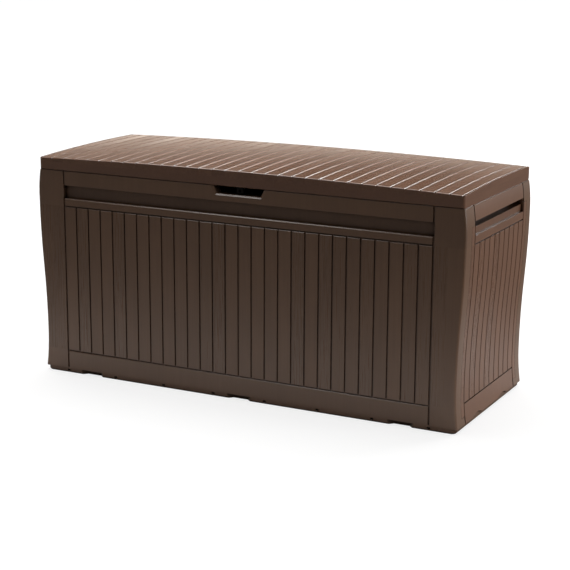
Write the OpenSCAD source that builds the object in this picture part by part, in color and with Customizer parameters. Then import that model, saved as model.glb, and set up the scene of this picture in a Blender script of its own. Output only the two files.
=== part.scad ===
// Deck storage box: slatted resin walls that click onto a base tray, and a crowned
// slatted lid on four hinge pins along the back edge.
// The origin is on the ground under the middle of the box. X runs along the width,
// -Y is the front and +Z is up.

/* [Overall] */
// Width across the bulge of the two ends
body_w = 1167; // [1000:1:1500]
// Depth from the front face to the back face
body_d = 447; // [400:1:620]
// Height of the walls' top edge above the ground
wall_top = 532; // [450:1:700]
// Thickness of the moulded walls
wall_t = 5; // [4:0.5:6.5]
// Outside radius of the upright corners
corner_r = 6; // [5:0.5:12]
// Gap between pieces that meet
fit_gap = 0.3; // [0.2:0.05:0.5]

/* [End curve] */
// Distance from the walls' top edge down to the widest point
bulge_drop = 62; // [45:1:90]
// How far the top edge tucks in from the widest point
top_tuck = 5.5; // [2:0.5:8]
// How far the waist tucks in from the widest point
waist_tuck = 15; // [8:0.5:20]
// Height of the waist above the ground
waist_z = 100; // [80:1:140]
// How far the foot flares out again from the waist
foot_flare = 6.5; // [2:0.5:8]

/* [Slats] */
// Pitch of the slats on the front, the back and the lid
slat_pitch = 36; // [32:0.5:42]
// Slats between two snap hooks
bay_slats = 4; // [3:1:5]
// Least width of the plain corner posts on the front and back
post_w = 79; // [60:1:110]
// Width of the plain corner posts on the ends
end_post_w = 55.5; // [50:0.5:75]
// Number of slats on each end
end_slats = 10; // [6:2:14]
// Width of a groove at its mouth
groove_w = 4.4; // [3:0.1:5.5]
// Width of a groove at its floor
groove_floor_w = 2.4; // [1.5:0.1:2.8]
// Depth of a groove
groove_d = 2.8; // [1.5:0.1:3]
// Height of the level lines above and below the slats
line_w = 3; // [2:0.25:5]
// How far the slatted field sits behind the corner posts
field_inset = 0.4; // [0.2:0.1:0.8]
// Bevel on the edges that face up
lip = 2; // [1:0.25:2.5]
// Height and depth of the shadow line under the lid
reveal = 1.5; // [0.5:0.25:2.5]

/* [Bands] */
// Height of the line under the slats
band_z = 61; // [52:1:80]
// Height of the plain apron under the walls' top edge
apron_h = 37; // [33:1:50]
// Height of the recessed channel under the apron
channel_h = 34; // [28:1:45]
// Height of the rail between the channel and the slats
rail_h = 18; // [12:1:26]
// Depth of the channel on the front and back
channel_d = 12; // [8:0.5:16]
// Thickness of the channel's and the pockets' own walls
pocket_t = 3.5; // [2.5:0.25:4.5]

/* [Top flange] */
// Reach of the inward flange along the walls' top edge
flange_w = 18; // [14:1:24]
// Thickness of that flange
flange_t = 4; // [3:0.5:6]

/* [End joints] */
// Height above the ground where the ears of the end panels begin
ear_foot_z = 30; // [22:1:45]
// Distance from the walls' top edge down to the ears
ear_drop = 48; // [40:1:60]
// How far an ear reaches past the border groove
ear_w = 20; // [14:1:26]
// How far the tongue behind an ear reaches past it
tongue_reach = 16; // [10:1:20]
// Thickness of that tongue
tongue_t = 3; // [2:0.5:4]
// Width of the open seam round an ear
ear_gap = 0.8; // [0.3:0.1:1.5]

/* [Stiffening ribs] */
// Thickness of the ribs inside the walls and under the floor
rib_t = 3; // [2:0.5:5]
// Depth of the ribs inside the front and back
rib_d = 6; // [4:0.5:8]

/* [Hand grips] */
// Depth of the shallow recess round each hand grip
grip_recess_d = 7; // [6:0.5:12]
// Depth of the finger slot in each hand grip
grip_slot_d = 28; // [20:1:34]
// Height of that finger slot
grip_slot_h = 16; // [11:0.5:18]

/* [Finger notch] */
// Width of the notch at the walls' top edge
notch_w = 139; // [110:1:170]
// Width of the notch at its floor
notch_floor_w = 120; // [90:1:150]
// Depth of the notch below the walls' top edge
notch_h = 20; // [17:0.5:24]
// Bevel round the mouth of the notch
notch_bevel = 3.5; // [0.5:0.25:3.5]
// Reach of the sleeve behind the notch, which is open to the inside
notch_pocket_d = 26; // [24:1:34]

/* [Padlock] */
// Radius of the holes for the padlock's shackle
shackle_r = 4; // [3:0.25:4.5]
// Distance of those holes below the walls' top edge
shackle_drop = 10; // [9:0.5:11]
// Width of the hasp and of the eye
hasp_w = 16; // [14:1:26]
// Thickness of the hasp and of the eye
hasp_t = 3; // [2.5:0.25:3.5]
// How far the hasp's tab stands behind its plate
hasp_step = 3; // [2:0.25:4]

/* [Base] */
// Height of the base's rim
rim_h = 12; // [10:0.5:16]
// Width of the base's rim
rim_w = 16; // [15:0.5:22]
// Radius of the base's corners
base_corner_r = 14; // [8:1:24]
// How far the base's ends sit behind the feet of the end walls
base_end_inset = 4; // [1:0.5:6]
// How far the base's rim sits behind the walls' faces
rim_inset = 0.4; // [0.2:0.1:1]
// Bevel along the bottom edge of the rim
rim_bevel = 3.5; // [1:0.5:5]
// Thickness of the floor
floor_t = 4; // [3:0.5:6]
// Height of the curb above the rim
curb_h = 26; // [14:1:30]
// Thickness of the curb
curb_t = 3; // [2:0.5:4]
// Width of the stacking notches in the rim
foot_notch_w = 66; // [50:1:75]
// Width of a snap hook
hook_w = 8; // [6:0.5:12]
// Length of a snap hook
hook_l = 2.5; // [2:0.5:3]
// Distance of the two snap scoops on each end from its middle
scoop_y = 88; // [75:1:100]
// Width of a snap scoop
scoop_w = 66; // [50:1:76]
// Height of a snap scoop above the rim
scoop_h = 7; // [5:0.5:10]

/* [Lid] */
// Height of the lid's crown above the walls' top edge
lid_h = 44.5; // [40:0.5:60]
// Thickness of the lid's slatted skin
lid_skin = 5; // [4:0.5:6.5]
// Thickness of the lid's skirts
lid_wall = 3.5; // [3:0.25:4]
// How far the lid's ends sit inside the walls' top edge
lid_tuck = 1; // [0.5:0.25:2]
// Fall of the crown from the middle to the ends
crown_fall = 9; // [4:0.5:12]
// Radius of the crown from front to back
crown_r = 6500; // [4500:100:9000]
// Distance of the crown's highest line behind the middle
crown_y = 50; // [0:5:90]
// Least width of the lid's two end slats
end_slat_w = 30; // [24:1:36]
// Width of the rim beyond the groove along each end of the lid
lid_rim_w = 2.8; // [2:0.1:4]

/* [Hinges] */
// Radius of the hinge knuckles
knuckle_r = 8; // [7.5:0.25:9]
// Radius of the hinge pins
pin_r = 3.5; // [2.5:0.25:4]
// Clearance round the pins
pin_gap = 0.05; // [0.03:0.01:0.1]
// Height of the hinge axis above the walls' top edge
hinge_rise = 10; // [9.5:0.25:12]
// Length of the knuckles on the back panel
knuckle_l = 30; // [20:1:44]
// Length of the lugs on the lid
lug_l = 15; // [10:1:22]
// Side clearance of the knuckles
knuckle_gap = 0.8; // [0.5:0.1:1.5]
// Distance of the inner hinges from the middle
hinge_inner_x = 144; // [110:1:190]
// Distance of the outer hinges from the middle
hinge_outer_x = 432; // [330:1:450]

/* [Lid ribs] */
// Gap between the rib frame and the lid's ends
frame_gap = 1; // [0.5:0.25:3]
// Distance of the rib frame from the back face
frame_back = 20; // [18:0.5:26]
// Height of the rib frame's lower edge above the walls' top edge
frame_rise = 3; // [2:0.5:6]
// Number of long ribs between the front and back of the frame
long_ribs = 3; // [3:1:5]
// Number of cross ribs on each side of the middle one
cross_ribs = 4; // [4:1:5]
// Radius of the screw bosses
boss_r = 6; // [5:0.5:8]
// Radius of the screws' shanks
screw_r = 1.9; // [1.5:0.1:2.2]
// Radius of the screws' heads
screw_head_r = 4; // [3.5:0.25:4.5]
// Distance of the two rows of screws from the lid's middle line
screw_y = 106; // [80:1:130]

/* [Hidden] */

$fn = 64;
wide_arc_fn = 720;
big = 2000;
over = 1;
resin = [0.24, 0.18, 0.14];
resin_dark = [0.12, 0.10, 0.08];
steel = [0.62, 0.62, 0.64];

half_d = body_d / 2;

// The end curve is four arcs that run into each other: top, upper, lower and foot.
bulge_x = body_w / 2;
top_x = bulge_x - top_tuck;
waist_x = bulge_x - waist_tuck;
foot_x = waist_x + foot_flare;
bulge_z = wall_top - bulge_drop;
swing = (bulge_z - waist_z) / 2;
mid_z = waist_z + swing;
top_r = arc_radius(bulge_drop, top_tuck);
mid_r = arc_radius(swing, waist_tuck / 2);
foot_r = arc_radius(waist_z - rim_h, foot_flare);

// Slatted field of the front and back: an odd number of bays, so one bay is in the middle.
bay_w = bay_slats * slat_pitch;
bays = 2 * floor(((body_w - 2 * post_w) / bay_w - 1) / 2) + 1;
field_x = bays * bay_w / 2;
border_x = field_x + groove_w / 2;
hook_x = [for (i = [0 : bays]) -field_x + i * bay_w];
rib_x = [for (i = [1 : bays - 1]) -field_x + i * bay_w];
foot_notch_x = [-(field_x - bay_w / 2), 0, field_x - bay_w / 2];

// Slatted field of the ends
end_field_y = half_d - end_post_w;
end_pitch = 2 * end_field_y / end_slats;
end_border_y = end_field_y - groove_w / 2;
post_edge_y = end_field_y + groove_w / 2;
ear_y = end_field_y + ear_w;
ear_top_z = wall_top - ear_drop;

// Heights on the walls
channel_top = wall_top - apron_h;
ledge_z = channel_top - channel_h;
rail_z = ledge_z - rail_h;
slat_top = rail_z - line_w;
line_d = groove_d + field_inset + 0.3;
notch_z = wall_top - notch_h;
shackle_z = wall_top - shackle_drop;

// Base
base_x = foot_x - base_end_inset;
base_y = half_d - rim_inset;
hook_d = wall_t + field_inset - 2.2;
hook_t = 2;
hook_slot_h = 7;
foot_notch_d = rim_w - rib_t;
scoop_tab_w = scoop_w - 22;
scoop_tab_h = scoop_h - 2.5;
scoop_tab_t = 3;

// Lid
lid_x = top_x - lid_tuck;
lid_z = wall_top + fit_gap;
crown_z = wall_top + lid_h;
lid_grooves = floor((lid_x - end_slat_w) / slat_pitch);
groove_x = [for (k = [-lid_grooves : lid_grooves]) k * slat_pitch];
lid_bevel = 1.5;

// Hinges
hinge_y = half_d - knuckle_r;
hinge_z = wall_top + hinge_rise;
lug_r = knuckle_r - 0.5;
pin_l = knuckle_l + 2 * (knuckle_gap + lug_l) - 2;
hinge_x = [-hinge_outer_x, -hinge_inner_x, hinge_inner_x, hinge_outer_x];

// Padlock parts
skirt_y = -half_d + field_inset + lid_wall;
tab_y = skirt_y + fit_gap + hasp_t + hasp_step;
eye_y = tab_y + hasp_t + fit_gap + 0.5;
hasp_margin = 6;
hasp_z = lid_z + 4;
hasp_plate_h = 20;
eye_foot_t = 2;
pocket_y = -half_d + notch_pocket_d;

// Lid rib frame
frame_x = lid_x - lid_wall - frame_gap;
frame_y0 = tab_y + hasp_t + frame_gap;
frame_y1 = half_d - frame_back;
frame_z = wall_top + frame_rise;
boss_h = 16;
boss_top_z = frame_z + boss_h;
screw_head_h = 2.4;
screw_bite = 8;
screw_hole_h = screw_bite + 1;
recess_w = 1.2;
recess_l = 4.4;
screw_seat_z = frame_z + screw_head_h + 0.4;
cross_pitch = frame_x / (cross_ribs + 1);
cross_rib_x = [for (i = [-cross_ribs : cross_ribs]) i * cross_pitch];
long_rib_y = [for (i = [1 : long_ribs]) frame_y0 + i * (frame_y1 - frame_y0) / (long_ribs + 1)];
screw_x = [for (i = [-4, -2, 2, 4]) i * cross_pitch];
screw_ys = [-screw_y, screw_y];

function arc_radius(length, rise) = round(100 * (length * length + rise * rise) / (2 * rise)) / 100;
function sag(r, h) = r - sqrt(r * r - h * h);
function arc_points(cx, cy, r, from, to, steps) =
    [for (i = [0 : steps]) let (a = from + (to - from) * i / steps) [cx + r * cos(a), cy + r * sin(a)]];

// Fall of the lid's crown at a distance x from the middle
function end_fall(x) = crown_fall * (x * x) / (lid_x * lid_x);
// Height of the lid's outer surface
function lid_surface_z(x, y) = crown_z - end_fall(x) - sag(crown_r, y - crown_y);

// Half the width of the box at a height z
function half_width(z) =
    z > bulge_z ? bulge_x - sag(top_r, z - bulge_z) :
    z > mid_z ? bulge_x - sag(mid_r, bulge_z - z) :
    z > waist_z ? waist_x + sag(mid_r, z - waist_z) :
    waist_x + sag(foot_r, waist_z - z);

module box_between(lo, hi) {
    translate(lo) cube(hi - lo);
}

module both_ends() {
    children();
    mirror([1, 0, 0]) children();
}

module both_sides() {
    children();
    mirror([0, 1, 0]) children();
}

// Extrudes a [y, z] outline along X, centred
module along_x(length) {
    rotate([90, 0, 90]) linear_extrude(length, center = true) children();
}

// Extrudes an [x, z] outline along Y from y0 to y1
module along_y(y0, y1) {
    translate([0, y1, 0]) rotate([90, 0, 0]) linear_extrude(y1 - y0) children();
}

// Sweeps an outline round one arc of the right-hand end curve. The arc starts where the
// curve stands upright, at x and z, and bends outward or inward as it runs up or down.
module curve_arc(x, z, r, angle, outward, upward) {
    translate([outward ? x - r : x + r, 0, z]) mirror([outward ? 0 : 1, 0, 0]) mirror([0, 0, upward ? 0 : 1])
        rotate([90, 0, 0]) rotate_extrude(angle = angle, $fn = wide_arc_fn)
            translate([r, 0]) mirror([outward ? 0 : 1, 0]) mirror([0, 1]) children();
}

// Keeps what lies between two heights
module slab(z0, z1) {
    intersection() {
        children();
        box_between([0, -big, z0], [big, big, z1]);
    }
}

// Sweeps an outline up the right-hand end curve between two heights. In the outline,
// x is the distance outward from the end's surface, so it is negative inside, and y is y.
module end_sweep(z0, z1) {
    reach = 100;
    top_a = asin((bulge_drop + over) / (top_r - reach));
    upper_a = asin((swing + over) / (mid_r - reach));
    lower_a = asin((swing + over) / (mid_r - over));
    foot_a = asin((waist_z - rim_h + over) / (foot_r - over));
    if (z1 > bulge_z) slab(max(z0, bulge_z - over), z1)
        curve_arc(bulge_x, bulge_z, top_r, top_a, true, true) children();
    if (z1 > mid_z && z0 < bulge_z) slab(max(z0, mid_z), min(z1, bulge_z + over))
        curve_arc(bulge_x, bulge_z, mid_r, upper_a, true, false) children();
    if (z0 < mid_z && z1 > waist_z) slab(max(z0, waist_z - over), min(z1, mid_z))
        curve_arc(waist_x, waist_z, mid_r, lower_a, false, true) children();
    if (z0 < waist_z) slab(z0, min(z1, waist_z + over))
        curve_arc(waist_x, waist_z, foot_r, foot_a, false, false) children();
}

// ---- front and back panels ----

// Outline of the slatted field, as [depth behind the face, height]
function field_outline() = let (i = field_inset, w = wall_t + field_inset) [
    [i, rim_h],
    [i, band_z - line_w / 2 - lip],
    [i + lip, band_z - line_w / 2],
    [line_d, band_z - line_w / 2],
    [line_d, band_z + line_w / 2],
    [i, band_z + line_w / 2],
    [i, slat_top - lip],
    [i + lip, slat_top],
    [line_d, slat_top],
    [line_d, rail_z],
    [i, rail_z],
    [i, ledge_z - lip],
    [i + lip, ledge_z],
    [channel_d, ledge_z],
    [channel_d, channel_top],
    [i, channel_top],
    [i, wall_top - reveal],
    [i + reveal, wall_top - reveal],
    [i + reveal, wall_top],
    [flange_w, wall_top],
    [flange_w, wall_top - flange_t],
    [w, wall_top - flange_t],
    [w, channel_top + pocket_t],
    [channel_d + pocket_t, channel_top + pocket_t],
    [channel_d + pocket_t, ledge_z - pocket_t],
    [w, ledge_z - pocket_t],
    [w, rim_h]
];

// Section of the front right-hand corner post, as [distance outward from the end, y].
// Its return on the end stops at a distance edge_y from the middle, and its outer face
// may be set in.
module post_section(edge_y, inset = 0) {
    reach = bulge_x - border_x + over;
    inner_r = max(corner_r - wall_t, 0.5);
    polygon(concat(
        [[-reach, -half_d + wall_t], [-reach, -half_d + inset]],
        arc_points(-corner_r, -half_d + corner_r, corner_r - inset, -90, 0, 8),
        [[-inset, -edge_y], [-wall_t, -edge_y]],
        arc_points(-wall_t - inner_r, -half_d + wall_t + inner_r, inner_r, 0, -90, 6)
    ));
}

// The front right-hand corner post. Its return is narrower where the end panel's ear is.
module corner_post() {
    ear_z0 = ear_foot_z - ear_gap;
    ear_z1 = ear_top_z + ear_gap;
    intersection() {
        union() {
            end_sweep(rim_h, ear_z0) post_section(post_edge_y);
            end_sweep(ear_z0, ear_z1) post_section(ear_y + ear_gap);
            end_sweep(ear_z1, wall_top - reveal) post_section(post_edge_y);
            end_sweep(wall_top - reveal, wall_top) post_section(post_edge_y, reveal);
        }
        box_between([border_x, -big, 0], [big, 0, big]);
    }
    // Flange along the post's top edge
    box_between([border_x, -half_d + wall_t - over, wall_top - flange_t],
        [top_x - wall_t / 2, -half_d + flange_w, wall_top]);
}

// A groove's cutter, lying across X at the front face, from z0 to z1
module front_groove(x, z0, z1, widen = 0) {
    translate([x, -half_d + field_inset, z0]) linear_extrude(z1 - z0) polygon([
        [-groove_w / 2 - widen - over, -over],
        [groove_w / 2 + widen + over, -over],
        [groove_w / 2 + widen, 0],
        [groove_floor_w / 2, groove_d],
        [-groove_floor_w / 2, groove_d],
        [-groove_w / 2 - widen, 0]
    ]);
}

// What the front and back panels share, drawn at the front
module long_wall() {
    difference() {
        union() {
            both_ends() corner_post();
            translate([0, -half_d, 0]) along_x(2 * border_x + 4) polygon(field_outline());
            // End walls of the channel
            both_ends() box_between([border_x, -half_d + wall_t - over, ledge_z - pocket_t],
                [border_x + pocket_t, -half_d + channel_d + pocket_t, channel_top + pocket_t]);
            // Stiffening ribs
            for (x = rib_x) box_between(
                [x - rib_t / 2, -half_d + wall_t - over, rim_h + curb_h + 6],
                [x + rib_t / 2, -half_d + wall_t + rib_d, ledge_z - pocket_t + over]);
            // Snap hooks
            for (x = hook_x) box_between([x - hook_w / 2, -half_d + hook_d, rim_h - hook_l],
                [x + hook_w / 2, -half_d + hook_d + hook_t, rim_h + over]);
        }
        for (i = [1 : bays * bay_slats - 1]) front_groove(-field_x + i * slat_pitch, band_z, rail_z - over);
        for (x = [-field_x, field_x]) front_groove(x, rim_h + 3, wall_top + over, 0.3);
    }
}

// Outline of the finger notch as [x, z], grown by a margin
module notch_outline(grow = 0) {
    slope = (notch_w - notch_floor_w) / 2 / notch_h;
    top = wall_top + (grow > 0 ? 0 : over);
    polygon([
        [-notch_floor_w / 2 - grow, notch_z - grow],
        [notch_floor_w / 2 + grow, notch_z - grow],
        [notch_floor_w / 2 + grow + slope * (top - notch_z + grow), top],
        [-notch_floor_w / 2 - grow - slope * (top - notch_z + grow), top]
    ]);
}

// Bevel round the mouth of the notch
module notch_mouth() {
    face = -half_d + field_inset;
    hull() {
        along_y(face - over, face) notch_outline(notch_bevel);
        along_y(face - over, face + notch_bevel) notch_outline();
    }
}

module front_panel() {
    color(resin) difference() {
        union() {
            long_wall();
            along_y(-half_d + wall_t - over, pocket_y) notch_outline(pocket_t);
        }
        along_y(-half_d - over, pocket_y + over) notch_outline();
        notch_mouth();
    }
}

// Knuckle that stands on the back panel's top edge
module back_knuckle(x) {
    stem = knuckle_r - 1.5;
    translate([x, 0, 0]) difference() {
        union() {
            translate([0, hinge_y, hinge_z]) rotate([0, 90, 0]) cylinder(h = knuckle_l, r = knuckle_r, center = true);
            box_between([-knuckle_l / 2, hinge_y - stem, wall_top - flange_t / 2],
                [knuckle_l / 2, hinge_y + stem, hinge_z]);
        }
        translate([0, hinge_y, hinge_z]) rotate([0, 90, 0])
            cylinder(h = knuckle_l + 2 * over, r = pin_r + pin_gap, center = true);
    }
}

module back_panel() {
    color(resin) union() {
        rotate([0, 0, 180]) long_wall();
        for (x = hinge_x) back_knuckle(x);
    }
}

// ---- end panels ----

// Section of the end panel, as [distance outward from the end, y], with its outer face
// set in by an inset
module end_section(inset = 0) {
    tongue_y = ear_y + tongue_reach;
    out = -wall_t - fit_gap;
    polygon([
        [-inset, -end_border_y], [-inset, end_border_y],
        [out, end_border_y], [out, tongue_y], [out - tongue_t, tongue_y],
        [out - tongue_t, end_border_y - 10], [-wall_t, end_border_y - 10],
        [-wall_t, -end_border_y + 10], [out - tongue_t, -end_border_y + 10],
        [out - tongue_t, -tongue_y], [out, -tongue_y], [out, -end_border_y]
    ]);
}

module end_groove_section(y) {
    translate([0, y]) polygon([
        [over, -groove_w / 2 - over],
        [over, groove_w / 2 + over],
        [0, groove_w / 2],
        [-groove_d, groove_floor_w / 2],
        [-groove_d, -groove_floor_w / 2],
        [0, -groove_w / 2]
    ]);
}

// Level line across the end, cut line_d deep
module end_line(z) {
    end_sweep(z - line_w / 2, z + line_w / 2) translate([-line_d, -end_border_y]) square([line_d + over, 2 * end_border_y]);
}

// Outline of the hand grip's hollow as [x, z], with its walls grown by a margin
module grip_outline(grow = 0) {
    out = grow > 0 ? bulge_x - wall_t + over : bulge_x + 10;
    polygon([
        [bulge_x - grip_recess_d - grow, ledge_z - grow],
        [out, ledge_z - grow],
        [out, channel_top + grow],
        [bulge_x - grip_slot_d - grow, channel_top + grow],
        [bulge_x - grip_slot_d - grow, channel_top - grip_slot_h - grow],
        [bulge_x - grip_recess_d - grow, channel_top - grip_slot_h - grow]
    ]);
}

// Outline of a snap scoop as [y, z], arched from the rim's top edge upward
module scoop_outline(width, height) {
    r = arc_radius(width / 2, height);
    half = asin(width / 2 / r);
    translate([0, rim_h]) polygon(concat(
        [[width / 2, -over]],
        arc_points(0, height - r, r, 90 - half, 90 + half, 12),
        [[-width / 2, -over]]
    ));
}

module end_panel() {
    difference() {
        union() {
            end_sweep(rim_h, wall_top - reveal) end_section();
            end_sweep(wall_top - reveal, wall_top) end_section(reveal);
            // Ears that fill the windows in the corner posts
            both_sides() end_sweep(ear_foot_z, ear_top_z)
                translate([-wall_t - fit_gap - 1, end_border_y - 5]) square([wall_t + fit_gap + 1, ear_y - end_border_y + 5]);
            // Flange along the top edge, between the flanges of the front and back
            box_between([top_x - flange_w, -half_d + flange_w + fit_gap, wall_top - flange_t],
                [top_x - wall_t - fit_gap - tongue_t / 2, half_d - flange_w - fit_gap, wall_top]);
            box_between([top_x - flange_w, -end_border_y, wall_top - flange_t],
                [top_x - wall_t / 2, end_border_y, wall_top]);
            // Walls of the hand grip
            along_y(-end_border_y - pocket_t + over, end_border_y + pocket_t - over) grip_outline(pocket_t);
        }
        along_y(-end_border_y, end_border_y) grip_outline();
        end_sweep(band_z, rail_z - over) for (i = [1 : end_slats - 1]) end_groove_section(-end_field_y + i * end_pitch);
        both_sides() end_sweep(ear_foot_z - over, ear_top_z + over) end_groove_section(end_field_y);
        end_line(band_z);
        end_line(rail_z - line_w / 2);
        for (y = [-scoop_y, scoop_y]) translate([foot_x, y, 0]) along_x(4 * wall_t) scoop_outline(scoop_w, scoop_h);
    }
}

module right_end_panel() {
    color(resin) end_panel();
}

module left_end_panel() {
    color(resin) mirror([1, 0, 0]) end_panel();
}

// ---- base ----

// A solid plate with rounded corners and a bevel along its lower edge
module rim_plate() {
    straight_x = base_x - base_corner_r;
    straight_y = base_y - base_corner_r;
    module side(half) {
        polygon([
            [-half + rim_bevel, 0], [-half, rim_bevel], [-half, rim_h],
            [half, rim_h], [half, rim_bevel], [half - rim_bevel, 0]
        ]);
    }
    along_x(2 * straight_x) side(base_y);
    along_y(-straight_y, straight_y) side(base_x);
    both_ends() both_sides() translate([straight_x, straight_y, 0]) {
        cylinder(h = rim_bevel, r1 = base_corner_r - rim_bevel, r2 = base_corner_r);
        translate([0, 0, rim_bevel]) cylinder(h = rim_h - rim_bevel, r = base_corner_r);
    }
}

// The slot in the rim that takes a snap hook, open to the front through a small window
module hook_slot(x) {
    w = hook_w / 2 + fit_gap;
    box_between([x - w, -half_d + hook_d - fit_gap, rim_h - hook_slot_h], [x + w, -base_y + foot_notch_d, rim_h + over]);
    box_between([x - w, -half_d - over, rim_h - hook_slot_h], [x + w, -half_d + hook_d, rim_h - hook_l]);
}

// A stacking notch in the rim, with slanted ends
module foot_notch(x) {
    w = foot_notch_w / 2;
    translate([x, -base_y, -over]) linear_extrude(rim_h + 2 * over) polygon([
        [-w - over, -over], [w + over, -over], [w - foot_notch_d, foot_notch_d], [-w + foot_notch_d, foot_notch_d]
    ]);
}

module base_tray() {
    floor_x = base_x - rim_w;
    floor_y = base_y - rim_w;
    curb_x = floor_x + curb_t;
    curb_y = floor_y + curb_t;
    rib_z = 1;
    color(resin) difference() {
        union() {
            difference() {
                union() {
                    rim_plate();
                    box_between([-curb_x, -curb_y, rim_h - over], [curb_x, curb_y, rim_h + curb_h]);
                }
                box_between([-floor_x, -floor_y, -over], [floor_x, floor_y, rim_h - floor_t]);
                box_between([-floor_x, -floor_y, rim_h], [floor_x, floor_y, rim_h + curb_h + over]);
            }
            for (x = rib_x) box_between([x - rib_t / 2, -curb_y, rib_z], [x + rib_t / 2, curb_y, rim_h - over]);
            for (y = [-body_d / 4, 0, body_d / 4]) box_between([-curb_x, y - rib_t / 2, rib_z],
                [curb_x, y + rib_t / 2, rim_h - over]);
            // Tabs that stand in the snap scoops of the end panels
            both_ends() both_sides() translate([base_x - scoop_tab_t / 2, scoop_y, 0])
                along_x(scoop_tab_t) scoop_outline(scoop_tab_w, scoop_tab_h);
        }
        both_sides() {
            for (x = hook_x) hook_slot(x);
            for (x = foot_notch_x) foot_notch(x);
        }
    }
}

// ---- lid ----

// Outline across the lid, as [x, height from the crown's turning axis], down to a given depth.
// With grooves it is the outer surface; without, it lies a given distance under it.
function crown_outline(under, half, depth, grooved) = let (top = crown_r - under, rim_x = half - lid_rim_w - groove_w / 2) concat(
    [[-half, top - depth], [-half, top - end_fall(half)]],
    [for (x = concat(grooved ? [-rim_x] : [], groove_x, grooved ? [rim_x] : [])) let (z = top - end_fall(x))
        each grooved
            ? [[x - groove_w / 2, z], [x - groove_floor_w / 2, z - groove_d],
               [x + groove_floor_w / 2, z - groove_d], [x + groove_w / 2, z]]
            : [[x, z]]],
    [[half, top - end_fall(half)], [half, top - depth]]
);

// The space under the crown, bent over the turning axis along X
module crown_solid(under, half, grooved = false) {
    depth = 80;
    margin = 20;
    front_a = asin((half_d + crown_y + margin) / (crown_r - depth));
    back_a = asin((half_d - crown_y + margin) / (crown_r - depth));
    translate([0, crown_y, crown_z - crown_r]) for (side = [0, 1]) mirror([0, side, 0])
        rotate([0, -90, 0]) rotate_extrude(angle = side == 0 ? -front_a : -back_a, $fn = wide_arc_fn)
            polygon([for (p = crown_outline(under, half, depth, grooved)) [p[1], p[0]]]);
}

// Outline of the lid from front to back as [y, z]
module lid_outline(wall, bottom) {
    front = -half_d + wall + field_inset;
    polygon(concat(
        [[front + (wall > 0 ? 0 : lid_bevel), bottom], [front, bottom + (wall > 0 ? 0 : lid_bevel)],
         [front, big], [half_d - wall, big]],
        arc_points(hinge_y, hinge_z, knuckle_r - wall, 0, -90, 10),
        [[hinge_y - 4, hinge_z - knuckle_r + wall], [hinge_y - 4, max(bottom, hinge_z - knuckle_r) - (wall > 0 ? 5 : 0)],
         [hinge_y - 6, bottom]]
    ));
}

// The lid seen from above, with rounded corners
module lid_plan() {
    front = -half_d + field_inset + corner_r;
    back = half_d - corner_r;
    box_between([-lid_x + corner_r, -big, 0], [lid_x - corner_r, big, big]);
    box_between([-lid_x, front, 0], [lid_x, back, big]);
    both_ends() for (y = [front, back]) translate([lid_x - corner_r, y, 0]) cylinder(h = big, r = corner_r);
}

// A hinge lug of the lid, with a stem up to the skin that slopes down towards the back
module lug(x) {
    y0 = hinge_y - lug_r + 1.5;
    y1 = hinge_y + lug_r - 1.5;
    top = lid_surface_z(x, hinge_y) - lid_skin / 2;
    translate([x, hinge_y, hinge_z]) rotate([0, 90, 0]) cylinder(h = lug_l, r = lug_r, center = true);
    translate([x, 0, 0]) along_x(lug_l) polygon([[y0, hinge_z], [y1, hinge_z], [y1, top + y0 - y1], [y0, top]]);
}

module lid() {
    lug_x = knuckle_l / 2 + knuckle_gap + lug_l / 2;
    cut = knuckle_l / 2 + knuckle_gap;
    color(resin) difference() {
        union() {
            difference() {
                intersection() {
                    crown_solid(0, lid_x, true);
                    along_x(2 * lid_x) lid_outline(0, lid_z);
                    lid_plan();
                }
                intersection() {
                    crown_solid(lid_skin, lid_x - lid_wall);
                    along_x(2 * (lid_x - lid_wall)) lid_outline(lid_wall, lid_z - over);
                }
            }
            for (x = hinge_x) for (s = [-1, 1]) lug(x + s * lug_x);
            for (x = screw_x) for (y = screw_ys) translate([x, y, boss_top_z + fit_gap])
                cylinder(h = lid_surface_z(x, y) - lid_skin / 2 - boss_top_z - fit_gap, r = boss_r - 1);
        }
        for (x = hinge_x) {
            // Window for the back panel's knuckle
            box_between([x - cut, hinge_y - knuckle_r - over, lid_z - over],
                [x + cut, half_d + over, hinge_z + knuckle_r + 3]);
            translate([x, hinge_y, hinge_z]) rotate([0, 90, 0])
                cylinder(h = 2 * (cut + lug_l + over), r = pin_r + pin_gap, center = true);
        }
        for (x = screw_x) for (y = screw_ys) translate([x, y, boss_top_z - over])
            cylinder(h = screw_hole_h + over, r = screw_r + pin_gap);
    }
}

// Height of the rib frame's upper edge, just under the lid's skin
function ceiling_z(x, y) = lid_surface_z(x, y) - lid_skin - fit_gap - 0.1;

// A rib along X, with its middle at y
module long_rib(y) {
    tops = concat([-frame_x], cross_rib_x, [frame_x]);
    along_y(y - rib_t / 2, y + rib_t / 2)
        polygon(concat([[frame_x, frame_z], [-frame_x, frame_z]], [for (x = tops) [x, ceiling_z(x, y)]]));
}

// A rib along Y, with its middle at x
module cross_rib(x) {
    tops = concat([frame_y0], long_rib_y, [frame_y1]);
    translate([x, 0, 0]) along_x(rib_t)
        polygon(concat([[frame_y1, frame_z], [frame_y0, frame_z]], [for (y = tops) [y, ceiling_z(x, y)]]));
}

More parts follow.
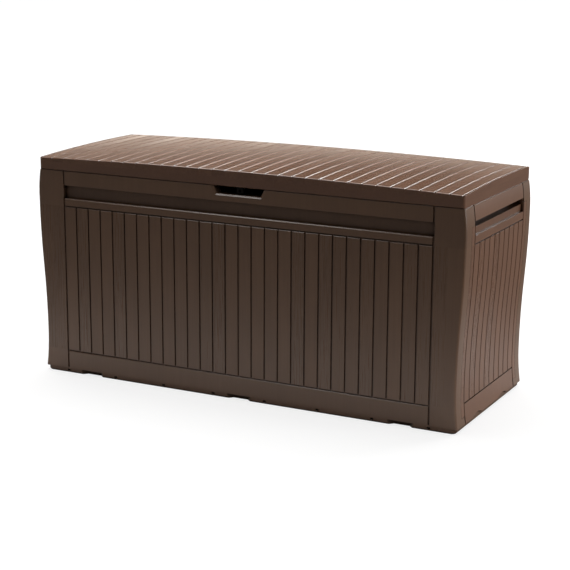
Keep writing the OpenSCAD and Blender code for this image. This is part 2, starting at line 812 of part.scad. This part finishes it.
module lid_rib_frame() {
    edge_y = [frame_y0 + rib_t / 2, frame_y1 - rib_t / 2];
    edge_x = [-frame_x + rib_t / 2, frame_x - rib_t / 2];
    color(resin) difference() {
        union() {
            for (y = concat(edge_y, long_rib_y)) long_rib(y);
            for (x = concat(edge_x, cross_rib_x)) cross_rib(x);
            for (x = screw_x) for (y = screw_ys) translate([x, y, frame_z]) cylinder(h = boss_h, r = boss_r);
        }
        for (x = screw_x) for (y = screw_ys) translate([x, y, 0]) {
            translate([0, 0, boss_top_z]) cylinder(h = lid_h, r = boss_r);
            translate([0, 0, frame_z - over]) cylinder(h = lid_h, r = screw_r + fit_gap);
            translate([0, 0, frame_z - over]) cylinder(h = screw_seat_z - frame_z + over, r = screw_head_r + fit_gap);
        }
    }
}

module rib_frame_screws() {
    color(steel) for (x = screw_x) for (y = screw_ys) translate([x, y, 0]) difference() {
        union() {
            translate([0, 0, screw_seat_z - screw_head_h]) cylinder(h = screw_head_h, r = screw_head_r);
            translate([0, 0, screw_seat_z - over]) cylinder(h = boss_top_z + screw_bite - screw_seat_z, r = screw_r);
        }
        // Cross recess
        for (a = [0, 90]) rotate([0, 0, a]) translate([-recess_w / 2, -recess_l / 2, screw_seat_z - screw_head_h - over])
            cube([recess_w, recess_l, over + screw_head_h / 2]);
    }
}

// ---- padlock parts ----

module lid_hasp() {
    plate_y = skirt_y + fit_gap;
    color(resin_dark) difference() {
        union() {
            box_between([-hasp_w / 2 - hasp_margin, plate_y, hasp_z],
                [hasp_w / 2 + hasp_margin, plate_y + hasp_t, hasp_z + hasp_plate_h]);
            box_between([-hasp_w / 2, plate_y, hasp_z], [hasp_w / 2, tab_y + hasp_t, hasp_z + hasp_t + 1]);
            box_between([-hasp_w / 2, tab_y, shackle_z - shackle_r - 3],
                [hasp_w / 2, tab_y + hasp_t, hasp_z + hasp_t + 1]);
        }
        translate([0, tab_y - over, shackle_z]) rotate([-90, 0, 0]) cylinder(h = hasp_t + 2 * over, r = shackle_r);
    }
}

module padlock_eye() {
    color(resin_dark) difference() {
        union() {
            box_between([-hasp_w / 2, eye_y, notch_z], [hasp_w / 2, eye_y + hasp_t, wall_top - 2]);
            box_between([-hasp_w / 2 - hasp_margin, eye_y, notch_z],
                [hasp_w / 2 + hasp_margin, pocket_y, notch_z + eye_foot_t]);
        }
        translate([0, eye_y - over, shackle_z]) rotate([-90, 0, 0]) cylinder(h = hasp_t + 2 * over, r = shackle_r);
    }
}

// ---- hinge pins ----

module hinge_pin(x) {
    color(resin_dark) translate([x, hinge_y, hinge_z]) rotate([0, 90, 0]) cylinder(h = pin_l, r = pin_r, center = true);
}

module hinge_pin_far_left() {
    hinge_pin(hinge_x[0]);
}

module hinge_pin_near_left() {
    hinge_pin(hinge_x[1]);
}

module hinge_pin_near_right() {
    hinge_pin(hinge_x[2]);
}

module hinge_pin_far_right() {
    hinge_pin(hinge_x[3]);
}

base_tray();
front_panel();
back_panel();
left_end_panel();
right_end_panel();
lid();
lid_rib_frame();
rib_frame_screws();
lid_hasp();
padlock_eye();
hinge_pin_far_left();
hinge_pin_near_left();
hinge_pin_near_right();
hinge_pin_far_right();
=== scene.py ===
import math

import bmesh
import bpy
from mathutils import Matrix, Vector


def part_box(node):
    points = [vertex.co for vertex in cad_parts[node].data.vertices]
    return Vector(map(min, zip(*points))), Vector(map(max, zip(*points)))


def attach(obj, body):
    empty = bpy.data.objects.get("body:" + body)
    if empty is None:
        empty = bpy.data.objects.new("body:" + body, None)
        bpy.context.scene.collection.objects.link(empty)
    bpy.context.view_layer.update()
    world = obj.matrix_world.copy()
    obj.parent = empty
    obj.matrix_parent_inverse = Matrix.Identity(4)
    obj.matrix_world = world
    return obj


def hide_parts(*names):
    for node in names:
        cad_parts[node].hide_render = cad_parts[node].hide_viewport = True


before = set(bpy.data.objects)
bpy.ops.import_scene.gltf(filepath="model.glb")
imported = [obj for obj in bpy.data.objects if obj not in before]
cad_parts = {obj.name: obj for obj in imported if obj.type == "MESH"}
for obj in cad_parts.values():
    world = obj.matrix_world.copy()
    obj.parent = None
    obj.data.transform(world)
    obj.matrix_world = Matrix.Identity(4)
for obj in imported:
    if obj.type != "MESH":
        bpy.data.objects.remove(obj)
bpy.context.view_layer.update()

# Lengths are in metres, angles in degrees, lamp powers in watts, and colours are linear.

X, Y, Z = 0, 1, 2

# BODY_COLOUR (front, back and base) is a little more olive for the shaded front, and the end panels' colour a
# little redder for the lit side: the difference between them is painted light and shade
BODY_COLOUR = (0.152, 0.083, 0.048)
LIT_END_COLOUR = (0.166, 0.081, 0.046)
LID_COLOUR = (0.165, 0.082, 0.049)
DARK_COLOUR = (0.014, 0.011, 0.009)
STEEL_COLOUR = (0.6, 0.6, 0.58)
WHITE = (1.0, 1.0, 1.0)
WARM = (1.0, 0.88, 0.76)

# The CAD's slats: their pitch and number, the heights between which the walls' slats run, and the
# height above which the lid's slats lie
SLAT = 0.036
END_SLAT = 0.0336
FRONT_SLATS = 28
END_SLATS = 10
LID_SLATS = 32
SLAT_FOOT = 0.0625
SLAT_TOP = 0.44
LID_EDGE = 0.553
ABOVE_THE_BOX = 1.0

# The CAD's crown on the lid: its fall to the ends, its radius from front to back and its highest line
CROWN_FALL = 0.009
CROWN_RADIUS = 6.5
CROWN_Y = 0.05

# Vertices closer than this are joined
WELD = 0.000002


# ---------- node helpers ----------

class Nodes:
    """Adds nodes to a tree and links them in one line each."""

    def __init__(self, tree):
        self.tree = tree
        tree.nodes.clear()

    def feed(self, node, key, value):
        """Link a socket to a node's input, or set the input to a plain value."""
        if isinstance(value, bpy.types.NodeSocket):
            self.tree.links.new(value, node.inputs[key])
        else:
            node.inputs[key].default_value = value

    def add(self, kind, inputs=None, **settings):
        node = self.tree.nodes.new(kind)
        for key, value in settings.items():
            setattr(node, key, value)
        for key, value in (inputs or {}).items():
            self.feed(node, key, value)
        return node

    def math(self, operation, a, b=0.0, c=0.0):
        return self.add("ShaderNodeMath", {0: a, 1: b, 2: c}, operation=operation).outputs[0]

    def vector_math(self, operation, a, b):
        return self.add("ShaderNodeVectorMath", {0: a, 1: b}, operation=operation).outputs[0]

    def grey(self, value):
        return self.add("ShaderNodeCombineXYZ", {0: value, 1: value, 2: value}).outputs[0]

    def noise(self, vector, scale, detail=4.0, roughness=0.5, distortion=0.0):
        inputs = {
            "Vector": vector,
            "Scale": scale,
            "Detail": detail,
            "Roughness": roughness,
            "Distortion": distortion,
        }
        return self.add("ShaderNodeTexNoise", inputs).outputs["Fac"]

    def stretched(self, vector, scale):
        return self.add("ShaderNodeMapping", {"Vector": vector, "Scale": scale}).outputs[0]

    def ramp(self, value, low, high, to_low=0.0, to_high=1.0):
        inputs = {"Value": value, "From Min": low, "From Max": high, "To Min": to_low, "To Max": to_high}
        return self.add("ShaderNodeMapRange", inputs, interpolation_type="SMOOTHSTEP").outputs[0]

    def mix(self, fac, a, b):
        """Mix two numbers."""
        return self.add("ShaderNodeMix", {0: fac, 2: a, 3: b}, data_type="FLOAT").outputs[0]

    def mix_colours(self, fac, a, b):
        return self.add("ShaderNodeMix", {0: fac, 6: a, 7: b}, data_type="RGBA").outputs[2]


def rgba(colour, gain=1.0):
    return (*(c * gain for c in colour), 1.0)


def new_material(name):
    mat = bpy.data.materials.new(name)
    mat.use_nodes = True
    return mat, Nodes(mat.node_tree)


def link(name, data):
    """Make an object and put it in the scene."""
    obj = bpy.data.objects.new(name, data)
    bpy.context.collection.objects.link(obj)
    return obj


# ---------- materials ----------

EDGE_RADIUS = 0.0005
SLAT_END_BLUR = 0.001
GRAIN_SHIFT = 7.0
PLAIN_FIGURE = 0.4
LEAST_FIGURE = 0.04
EDGE_PALENESS = 1.9
EDGE_WEAR_AND_HIGHLIGHT = 0.12
EDGE_POLISH = 0.08
RELIEF_DEPTH = 0.00035
RELIEF_STRENGTH = 0.55
RESIN_IOR = 1.5


def slat_chance(n, where, slats):
    """A random number for each slat, 0.5 off the slats, and 1 on the slats or 0 off them."""
    axis, pitch, start, low, high = slats
    xyz = n.add("ShaderNodeSeparateXYZ", {0: where}).outputs
    index = n.math("FLOOR", n.math("DIVIDE", n.math("SUBTRACT", xyz[axis], start), pitch))
    chance = n.add("ShaderNodeTexWhiteNoise", {"W": index}, noise_dimensions="1D").outputs["Value"]
    over_foot = n.ramp(xyz[Z], low - SLAT_END_BLUR, low)
    under_top = n.ramp(xyz[Z], high + SLAT_END_BLUR, high)
    slatted = n.math("MULTIPLY", over_foot, under_top)
    return n.math("MULTIPLY_ADD", n.math("SUBTRACT", chance, 0.5), slatted, 0.5), slatted


def resin(name, colour, grain, slats=None, grain_depth=0.5, rough=0.31, figure=0.02,
          shade_reach=0.03, shine=0.5, shine_in_shade=0.05):
    """Moulded resin with a fine wood-like grain along one axis; each slat differs a little. Grooves and
    recesses get painted shade, and edges are paler, partly as wear and partly as a painted highlight.

    slats is (axis across the slats, pitch, start, lowest height, highest height).
    """
    mat, n = new_material(name)
    where = n.add("ShaderNodeTexCoord").outputs["Object"]
    if slats:
        chance, slatted = slat_chance(n, where, slats)
        shift = n.add("ShaderNodeCombineXYZ", {grain: n.math("MULTIPLY", chance, GRAIN_SHIFT)}).outputs[0]
        where = n.vector_math("ADD", where, shift)
    else:
        chance = n.noise(where, scale=3.0, detail=1.0)
        slatted = PLAIN_FIGURE

    # Grain: long fibres, short pores and broad bands, all drawn out along the grain
    def drawn_out(across, length, **settings):
        scale = [length if i == grain else across for i in range(3)]
        return n.noise(n.stretched(where, scale), scale=1.0, **settings)

    fibres = drawn_out(across=520.0, length=9.0, detail=6.0, roughness=0.65, distortion=0.4)
    pores = n.ramp(drawn_out(across=900.0, length=38.0, detail=3.0, roughness=0.55), 0.60, 0.72)
    bands = drawn_out(across=95.0, length=3.2, detail=4.0, roughness=0.55, distortion=1.6)
    fine = n.noise(where, scale=2600.0, detail=2.0)
    broad = n.noise(where, scale=5.0, detail=3.0)

    relief = n.math("MULTIPLY", fibres, 0.55)
    for part, depth in ((bands, 0.45), (pores, -0.30), (fine, 0.05)):
        relief = n.math("MULTIPLY_ADD", part, depth, relief)

    # Edges: rounded for the light, rubbed smoother, and a little paler, partly as wear and partly as a painted
    # highlight
    rounded = n.add("ShaderNodeBevel", {"Radius": EDGE_RADIUS}, samples=6).outputs[0]
    facing = n.add("ShaderNodeNewGeometry").outputs["Normal"]
    dot = n.add("ShaderNodeVectorMath", {0: rounded, 1: facing}, operation="DOT_PRODUCT").outputs["Value"]
    worn_and_highlit = n.math("MULTIPLY", n.ramp(dot, 0.97, 0.80), n.ramp(broad, 0.35, 0.65, 0.4, 1.0))

    # Colour: a little different along the bands and from slat to slat, and darkened by painted shade in
    # grooves, recesses and slots (ambient occlusion)
    spread = n.math("MULTIPLY_ADD", slatted, figure, LEAST_FIGURE)
    tone = n.math("MULTIPLY_ADD", n.ramp(bands, 0.25, 0.75, -1.0, 1.0), spread, 1.0)
    # Ambient occlusion: where it is low, painted shade darkens the colour and weakens the gloss
    occlusion_shade = n.add("ShaderNodeAmbientOcclusion", {"Distance": shade_reach}, samples=8).outputs["AO"]
    for factor in (
        n.ramp(chance, 0.0, 1.0, 0.96, 1.04),
        n.ramp(broad, 0.3, 0.7, 0.95, 1.05),
        n.ramp(pores, 0.0, 1.0, 1.0, 0.92),
        n.ramp(occlusion_shade, 0.3, 0.85, 0.2, 1.0),
    ):
        tone = n.math("MULTIPLY", tone, factor)
    tinted = n.vector_math("MULTIPLY", n.grey(tone), colour)
    # Paler edges: partly rubbed wear, partly a painted highlight
    tinted = n.mix_colours(n.math("MULTIPLY", worn_and_highlit, EDGE_WEAR_AND_HIGHLIGHT), tinted, rgba(colour, EDGE_PALENESS))

    # Gloss: uneven with the fibres and from slat to slat, and weaker where painted shade falls in grooves and
    # recesses
    roughness = n.ramp(fibres, 0.3, 0.7, rough - 0.06 * grain_depth, rough + 0.08 * grain_depth)
    roughness = n.math("ADD", roughness, n.ramp(chance, 0.0, 1.0, -0.03, 0.03))
    roughness = n.math("SUBTRACT", roughness, n.math("MULTIPLY", worn_and_highlit, EDGE_POLISH))
    bump = n.add("ShaderNodeBump", {
        "Strength": RELIEF_STRENGTH * grain_depth,
        "Distance": RELIEF_DEPTH,
        "Height": relief,
        "Normal": rounded,
    }).outputs[0]
    shader = n.add("ShaderNodeBsdfPrincipled", {
        "Base Color": tinted,
        "Roughness": roughness,
        "Normal": bump,
        "IOR": RESIN_IOR,
        "Specular IOR Level": n.ramp(occlusion_shade, 0.3, 0.9, shine_in_shade, shine),
    })
    n.add("ShaderNodeOutputMaterial", {0: shader.outputs[0]})
    return mat


def steel(name):
    """Zinc-plated steel with a light turned grain."""
    mat, n = new_material(name)
    where = n.add("ShaderNodeTexCoord").outputs["Object"]
    cloud = n.noise(where, scale=400.0, detail=4.0, roughness=0.6)
    rings = n.noise(n.stretched(where, (900.0, 900.0, 4000.0)), scale=1.0, detail=2.0)
    tinted = n.mix_colours(n.ramp(cloud, 0.35, 0.7), rgba(STEEL_COLOUR), rgba(STEEL_COLOUR, 0.72))
    bump = n.add("ShaderNodeBump", {"Strength": 0.3, "Distance": 0.0001, "Height": rings}).outputs[0]
    shader = n.add("ShaderNodeBsdfPrincipled", {
        "Base Color": tinted,
        "Metallic": 1.0,
        "Roughness": n.ramp(cloud, 0.3, 0.7, 0.28, 0.45),
        "Normal": bump,
    })
    n.add("ShaderNodeOutputMaterial", {0: shader.outputs[0]})
    return mat


# Edges from this angle on stay sharp
SHARP_FROM = 22


def smoothing():
    """Geometry nodes that weld the CAD faces and shade gentle curves smooth."""
    tree = bpy.data.node_groups.new("smooth_by_angle", "GeometryNodeTree")
    for in_out in ("INPUT", "OUTPUT"):
        tree.interface.new_socket("Geometry", in_out=in_out, socket_type="NodeSocketGeometry")
    n = Nodes(tree)

    def shade_smooth(geometry, where, domain):
        inputs = {"Geometry": geometry, "Shade Smooth": where}
        return n.add("GeometryNodeSetShadeSmooth", inputs, domain=domain).outputs[0]

    start = n.add("NodeGroupInput").outputs[0]
    welded = n.add("GeometryNodeMergeByDistance", {"Geometry": start, "Distance": WELD}).outputs[0]
    angle = n.add("GeometryNodeInputMeshEdgeAngle").outputs["Unsigned Angle"]
    gentle = n.add(
        "FunctionNodeCompare",
        {"A": angle, "B": math.radians(SHARP_FROM)},
        data_type="FLOAT",
        operation="LESS_THAN",
    ).outputs[0]
    faces = shade_smooth(welded, True, "FACE")
    n.add("NodeGroupOutput", {0: shade_smooth(faces, gentle, "EDGE")})
    return tree


# ---------- lid with rounded edges ----------

FRONT_ROUNDING = 0.003
BACK_ROUNDING = 0.012
ROUNDING_STEPS = 8
CUT_MARGIN = 0.003
OVERCUT = 0.00001


def crown_z(lid_box, x, y):
    """Height of the lid's outer surface between its grooves."""
    half = lid_box[1][X]
    sag = CROWN_RADIUS - math.sqrt(CROWN_RADIUS ** 2 - (y - CROWN_Y) ** 2)
    return lid_box[1][Z] - CROWN_FALL * (x / half) ** 2 - sag


def edge_cutter(lid_box, y, radius):
    """What lies outside a rounding of the lid's top edge at y, and follows the crown."""
    half = lid_box[1][X]
    inward = -1 if y > 0 else 1
    slats = int(half / SLAT)
    stations = [-half - CUT_MARGIN] + [i * SLAT for i in range(-slats, slats + 1)] + [half + CUT_MARGIN]

    # The section holds distances in from the lid's side and down from its top
    section = [(-CUT_MARGIN, radius)]
    for i in range(ROUNDING_STEPS + 1):
        a = math.radians(90 * i / ROUNDING_STEPS)
        section.append((radius * (1 - math.cos(a)) - OVERCUT, radius * (1 - math.sin(a)) - OVERCUT))
    section += [(radius, -CUT_MARGIN), (-CUT_MARGIN, -CUT_MARGIN)]

    count = len(section)
    verts = [(x, y + inward * s, crown_z(lid_box, x, y) - t) for x in stations for s, t in section]
    faces = [tuple(range(count)), tuple(range(len(verts) - count, len(verts)))[::-1]]
    for j in range(len(stations) - 1):
        for i in range(count):
            k = (i + 1) % count
            faces.append((j * count + i, (j + 1) * count + i, (j + 1) * count + k, j * count + k))
    mesh = bpy.data.meshes.new("edge_cutter")
    mesh.from_pydata(verts, [], faces)
    work = bmesh.new()
    work.from_mesh(mesh)
    bmesh.ops.recalc_face_normals(work, faces=work.faces)
    work.to_mesh(mesh)
    work.free()
    return link("edge_cutter", mesh)


def rounded_lid():
    """The lid's CAD shape with its long top edges rounded off."""
    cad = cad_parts["lid"]
    lid_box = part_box("lid")
    lid = link("lid_rounded", cad.data.copy())
    lid.matrix_world = cad.matrix_world.copy()
    work = bmesh.new()
    work.from_mesh(lid.data)
    bmesh.ops.remove_doubles(work, verts=work.verts, dist=WELD)
    work.to_mesh(lid.data)
    work.free()
    cutters = [
        edge_cutter(lid_box, lid_box[0][Y], FRONT_ROUNDING),
        edge_cutter(lid_box, lid_box[1][Y], BACK_ROUNDING),
    ]
    for cutter in cutters:
        cut = lid.modifiers.new("cut", "BOOLEAN")
        cut.object = cutter
        cut.operation = "DIFFERENCE"
        cut.solver = "EXACT"
    graph = bpy.context.evaluated_depsgraph_get()
    shaped = bpy.data.meshes.new_from_object(lid.evaluated_get(graph))
    lid.modifiers.clear()
    lid.data = shaped
    for cutter in cutters:
        bpy.data.objects.remove(cutter)
    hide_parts("lid")
    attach(lid, "lid")
    return lid


lid_piece = rounded_lid()


# ---------- materials on the pieces ----------

front_field = (X, SLAT, -FRONT_SLATS / 2 * SLAT, SLAT_FOOT, SLAT_TOP)
end_field = (Y, END_SLAT, -END_SLATS / 2 * END_SLAT, SLAT_FOOT, SLAT_TOP)
lid_field = (X, SLAT, -LID_SLATS / 2 * SLAT, LID_EDGE, ABOVE_THE_BOX)

wall_resin = resin("resin_wall", BODY_COLOUR, Z, front_field)
end_resin = resin("resin_end", LIT_END_COLOUR, Z, end_field)
top_resin = resin("resin_top", LID_COLOUR, Y, lid_field, grain_depth=0.1, rough=0.21, figure=0.06,
                  shade_reach=0.006, shine_in_shade=0.5)
base_resin = resin("resin_base", BODY_COLOUR, X, rough=0.46)
inner_resin = resin("resin_inner", LID_COLOUR, X, grain_depth=0.4, rough=0.46)
dark_resin = resin("resin_dark", DARK_COLOUR, X, rough=0.55, shine=0.12)
zinc = steel("zinc_steel")

finish = {
    "base_tray": base_resin,
    "front_panel": wall_resin,
    "back_panel": wall_resin,
    "left_end_panel": end_resin,
    "right_end_panel": end_resin,
    "lid": top_resin,
    "lid_rib_frame": inner_resin,
    "rib_frame_screws": zinc,
    # The hasp's near-black colour is painted shade for the dark finger pocket it sits in
    "lid_hasp": dark_resin,
    "padlock_eye": dark_resin,
    "hinge_pin_far_left": dark_resin,
    "hinge_pin_near_left": dark_resin,
    "hinge_pin_near_right": dark_resin,
    "hinge_pin_far_right": dark_resin,
}
smooth = smoothing()
for name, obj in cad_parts.items():
    for slot in obj.material_slots:
        slot.material = finish[name]
    obj.modifiers.new("smooth", "NODES").node_group = smooth
lid_piece.data.materials.clear()
lid_piece.data.materials.append(top_resin)
lid_piece.modifiers.new("smooth", "NODES").node_group = smooth


# ---------- floor ----------

# Half the size of the box's outline on the floor
BOX_HALF = (0.58, 0.22)
FLOOR_REACH = 30.0
FLOOR_Z = -0.0002

# How much the floor reflects, near the box and far off, and what it gives off
FLOOR_NEAR = 0.85
FLOOR_FAR = 0.05
FLOOR_GLOW = 0.76
FLOOR_GREY = 0.3
GLOSS_NEAR = 0.65
GLOSS_FRONT = 0.2
GLOSS_AROUND = 0.1
GLOSS_LOSS = 0.6


def floor_sheet():
    """A wide flat floor. It bounces light mostly near the box, and the camera sees it white."""
    mat, n = new_material("pale_floor")
    where = n.add("ShaderNodeTexCoord").outputs["Object"]
    path = n.add("ShaderNodeLightPath").outputs

    # Distance from the box's outline on the floor
    out = n.add("ShaderNodeVectorMath", {0: where}, operation="ABSOLUTE").outputs[0]
    out = n.vector_math("SUBTRACT", out, (*BOX_HALF, 1.0))
    out = n.vector_math("MAXIMUM", out, (0.0, 0.0, 0.0))
    away = n.add("ShaderNodeVectorMath", {0: out}, operation="LENGTH").outputs["Value"]

    # What it reflects: bright near the box and dark far off, less for glossy rays, and grey for the camera
    bounce = n.ramp(away, 0.05, 0.9, FLOOR_NEAR, FLOOR_FAR)
    dimmed = n.math("MULTIPLY_ADD", path["Is Glossy Ray"], -GLOSS_LOSS, 1.0)
    paper = n.add("ShaderNodeVectorMath", {0: n.grey(bounce), "Scale": dimmed}, operation="SCALE").outputs[0]
    paper = n.add("ShaderNodeBsdfDiffuse", {"Color": paper})
    pale = n.add("ShaderNodeBsdfDiffuse", {"Color": rgba((FLOOR_GREY,) * 3)})
    surface = n.add("ShaderNodeMixShader", {0: path["Is Camera Ray"], 1: paper.outputs[0], 2: pale.outputs[0]})

    # What it gives off: white for the camera, and for glossy rays bright only close in front
    place = n.add("ShaderNodeSeparateXYZ", {0: where}).outputs
    around = n.math("MAXIMUM", n.ramp(place[Y], -0.45, -0.1), n.ramp(place[X], 0.6, 1.0))
    in_front = n.ramp(away, 0.2, 1.4, GLOSS_NEAR, GLOSS_FRONT)
    mirrored = n.math("MULTIPLY", path["Is Glossy Ray"], n.mix(around, in_front, GLOSS_AROUND))
    glowing = n.ramp(away, 0.5, 3.0, FLOOR_GLOW, 1.0)
    shown = n.math("MULTIPLY_ADD", path["Is Camera Ray"], glowing, mirrored)
    glow = n.add("ShaderNodeEmission", {"Strength": shown})
    both = n.add("ShaderNodeAddShader", {0: surface.outputs[0], 1: glow.outputs[0]})
    n.add("ShaderNodeOutputMaterial", {0: both.outputs[0]})

    mesh = bpy.data.meshes.new("floor")
    r = FLOOR_REACH
    mesh.from_pydata([(x, y, FLOOR_Z) for x, y in ((-r, -r), (r, -r), (r, r), (-r, r))], [], [(0, 1, 2, 3)])
    mesh.materials.append(mat)
    sheet = link("floor", mesh)


floor_sheet()


# ---------- light ----------

def softbox(name, at, target, size, power, colour=WHITE):
    data = bpy.data.lights.new(name, "AREA")
    data.shape = "RECTANGLE"
    data.size, data.size_y = size
    data.energy = power
    data.color = colour
    lamp = link(name, data)
    lamp.location = at
    lamp.visible_camera = False
    lamp.rotation_euler = (Vector(target) - Vector(at)).to_track_quat("-Z", "Y").to_euler()


# top_softbox and right_softbox give the plain level, ledge_strip draws the ledges and
# back_right_softbox the bright sides of the lid's grooves. The rest are weak accents.
softbox("top_softbox", at=(-0.35, 1.2, 3.1), target=(0.05, 0.5, 0.5), size=(4.2, 2.8), power=148)
softbox("ledge_strip", at=(-1.45, -0.8, 3.1), target=(-0.1, -0.2, 0.4), size=(2.8, 0.6), power=32)
softbox("right_softbox", at=(3.2, 0.1, 1.05), target=(0.5, 0.0, 0.35), size=(1.8, 1.6), power=37)
softbox("right_spot", at=(2.3, -1.7, 1.6), target=(0.0, -0.22, 0.5), size=(0.35, 0.35), power=3)
softbox("left_strip", at=(-3.0, -0.9, 0.35), target=(-0.3, -0.2, 0.3), size=(0.5, 0.7), power=3)
softbox("back_right_softbox", at=(2.45, 3.3, 1.3), target=(0.2, 0.0, 0.5), size=(0.9, 0.8), power=54)
softbox("back_strip", at=(-1.2, 3.5, 0.83), target=(-0.1, 0.1, 0.55), size=(3.6, 0.25), power=4.5, colour=WARM)

# The room's strength for diffuse rays (ROOM) and glossy rays (MIRRORED), by where they are heading
ROOM_FRONT = 0.016
ROOM_BACK = 0.112
MIRRORED_FRONT = 0.096
MIRRORED_HORIZON = 0.42
MIRRORED_SKY = 0.024


def room():
    """A dim warm room with a brighter horizon behind the box. The camera sees it white."""
    world = bpy.data.worlds.new("studio")
    bpy.context.scene.world = world
    world.use_nodes = True
    n = Nodes(world.node_tree)
    ray = n.add("ShaderNodeLightPath").outputs
    heading = n.add("ShaderNodeTexCoord").outputs["Generated"]
    heading = n.add("ShaderNodeSeparateXYZ", {0: heading}).outputs
    diffuse = n.ramp(heading[Y], -0.35, 0.35, ROOM_FRONT, ROOM_BACK)
    horizon = n.ramp(heading[Z], 0.10, 0.21, MIRRORED_HORIZON, MIRRORED_SKY)
    glossy = n.ramp(heading[Y], -0.25, 0.25, MIRRORED_FRONT, horizon)
    strength = n.mix(ray["Is Camera Ray"], n.mix(ray["Is Glossy Ray"], diffuse, glossy), 1.0)
    tint = n.mix_colours(ray["Is Camera Ray"], rgba(WARM), rgba(WHITE))
    background = n.add("ShaderNodeBackground", {"Color": tint, "Strength": strength})
    n.add("ShaderNodeOutputWorld", {0: background.outputs[0]})


room()


# ---------- camera, fitted to the photo's straight edges ----------

CAMERA_AT = (1.7939, -3.4761, 1.1905)
CAMERA_TURN = 27.1215
CAMERA_DIP = 13.5955
CAMERA_ROLL = 0.2538

camera = bpy.data.cameras.new("camera")
camera.sensor_width = 36.0
camera.lens = 99.45
camera.clip_end = 100.0
view = link("camera", camera)
view.matrix_world = (
    Matrix.Translation(CAMERA_AT)
    @ Matrix.Rotation(math.radians(CAMERA_TURN), 4, "Z")
    @ Matrix.Rotation(math.radians(90 - CAMERA_DIP), 4, "X")
    @ Matrix.Rotation(math.radians(CAMERA_ROLL), 4, "Z")
)
bpy.context.scene.camera = view
bpy.context.scene.view_settings.view_transform = "Standard"
